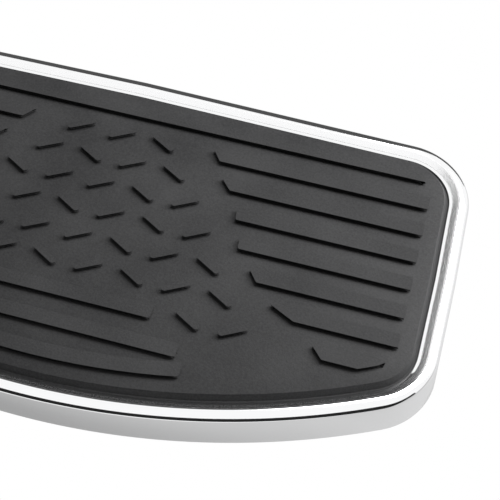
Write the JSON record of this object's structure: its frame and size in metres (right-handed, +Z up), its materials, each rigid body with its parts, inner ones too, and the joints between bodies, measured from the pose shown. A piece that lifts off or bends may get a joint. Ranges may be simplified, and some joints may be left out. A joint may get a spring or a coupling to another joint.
{
  "type": "motorcycle passenger footboard",
  "caption": "D-shaped passenger footboard: chromed pan with a ribbed rubber tread pad, hinged on a bolt-on bracket so that it folds up against the motorcycle.",
  "frame": {"origin": "middle of the bracket's mounting face, between its two bolt holes", "axes": "+X along the motorcycle and the board's length, +Y into the motorcycle, +Z up; the board reaches out along -Y"},
  "size_m": [0.2492, 0.1512, 0.0719],
  "materials": {
    "chrome_plate": "polished chrome plate on pressed steel",
    "tread_rubber": "matt moulded black rubber, fine mould texture",
    "moulded_rubber": "smooth black moulded rubber",
    "plate_steel": "phosphated steel sheet",
    "zinc_steel": "bright zinc plate",
    "spring_steel": "oiled spring steel",
    "black_coat": "satin black powder coat on cast steel",
    "bronze": "machined bearing bronze",
    "nylon": "natural nylon sheet"
  },
  "bodies": {
    "bracket": {"mount_bracket": "black_coat", "pivot_pin_left": "zinc_steel", "pivot_pin_right": "zinc_steel", "pin_clip_left": "spring_steel", "pin_clip_right": "spring_steel", "pin_washer_left": "zinc_steel", "pin_washer_right": "zinc_steel", "spring_washer_left": "spring_steel", "spring_washer_right": "spring_steel", "thrust_washer_left": "nylon", "thrust_washer_right": "nylon", "stop_bumper_left": "moulded_rubber", "stop_bumper_right": "moulded_rubber"},
    "board": {"pan": "chrome_plate", "tread_pad": "tread_rubber", "pad_plate": "plate_steel", "pad_studs": "zinc_steel", "isolator_1": "moulded_rubber", "isolator_2": "moulded_rubber", "isolator_3": "moulded_rubber", "isolator_4": "moulded_rubber", "stud_washers": "zinc_steel", "stud_nuts": "zinc_steel", "hinge_lug_left": "black_coat", "hinge_lug_right": "black_coat", "lug_rivets": "zinc_steel", "hinge_bush_left_inner": "bronze", "hinge_bush_left_outer": "bronze", "hinge_bush_right_inner": "bronze", "hinge_bush_right_outer": "bronze"}
  },
  "joints": [
    {"name": "board_fold", "type": "hinge", "parent": "bracket", "child": "board", "pos_m": [0, -0.032, 0.0295], "axis": [-1, 0, 0], "range_deg": [0, 80]}
  ]
}
